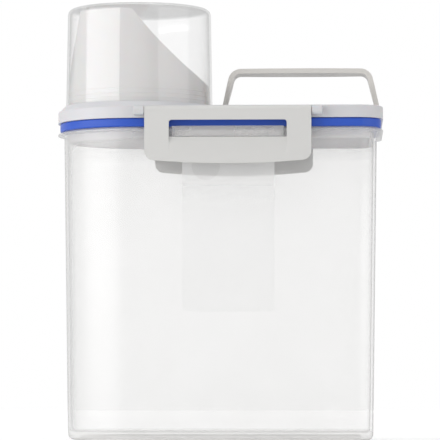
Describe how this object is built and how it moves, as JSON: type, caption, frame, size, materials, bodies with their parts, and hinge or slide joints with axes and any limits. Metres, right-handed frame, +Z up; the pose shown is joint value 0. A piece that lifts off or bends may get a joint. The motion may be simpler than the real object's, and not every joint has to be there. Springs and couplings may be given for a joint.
{
  "type": "rice keeper",
  "caption": "Airtight D-shaped rice keeper with a clamped lid, pouring spout under an upturned measuring cup, flip-up side latches and a swinging handle.",
  "frame": {"origin": "centre of the bounding box at the base, on the surface that the bin stands on", "axes": "+Z up; -Y is the front with the label; -X is the half-round spout end, +X the square end"},
  "size_m": [0.192, 0.1072, 0.2547],
  "materials": {
    "frosted_bin": "translucent frosted polypropylene, slightly satin",
    "label_film": "thin frosted film with a plain grey disc and no lettering",
    "blue_gasket": "smooth satin silicone rubber",
    "white_lid": "satin moulded polypropylene",
    "white_spout": "glossy moulded polypropylene",
    "clear_cup": "clear glossy plastic",
    "latch_grey": "satin moulded plastic, light warm grey",
    "handle_cream": "satin moulded plastic, light warm grey"
  },
  "bodies": {
    "bin": {"container_body": "frosted_bin", "front_label": "label_film"},
    "lid": {"lid_shell": "white_lid", "rim_gasket": "blue_gasket", "pour_spout": "white_spout"},
    "cup": {"measuring_cup": "clear_cup"},
    "front_latch_body": {"front_latch": "latch_grey"},
    "rear_latch_body": {"rear_latch": "latch_grey"},
    "handle": {"carry_handle": "handle_cream"}
  },
  "joints": [
    {"name": "lid_lift", "type": "slide", "parent": "bin", "child": "lid", "axis": [0, 0, 1], "range_m": [0, 0.18]},
    {"name": "cup_pull", "type": "slide", "parent": "lid", "child": "cup", "axis": [0, 0, 1], "range_m": [0, 0.12]},
    {"name": "front_latch_hinge", "type": "hinge", "parent": "lid", "child": "front_latch_body", "pos_m": [0.0064, -0.05095, 0.1904], "axis": [-1, 0, 0], "range_deg": [0, 120]},
    {"name": "rear_latch_hinge", "type": "hinge", "parent": "lid", "child": "rear_latch_body", "pos_m": [0.0064, 0.05095, 0.1904], "axis": [1, 0, 0], "range_deg": [0, 120]},
    {"name": "handle_swing", "type": "hinge", "parent": "lid", "child": "handle", "pos_m": [0.0478, 0, 0.1946], "axis": [1, 0, 0], "range_deg": [-60, 60]}
  ]
}
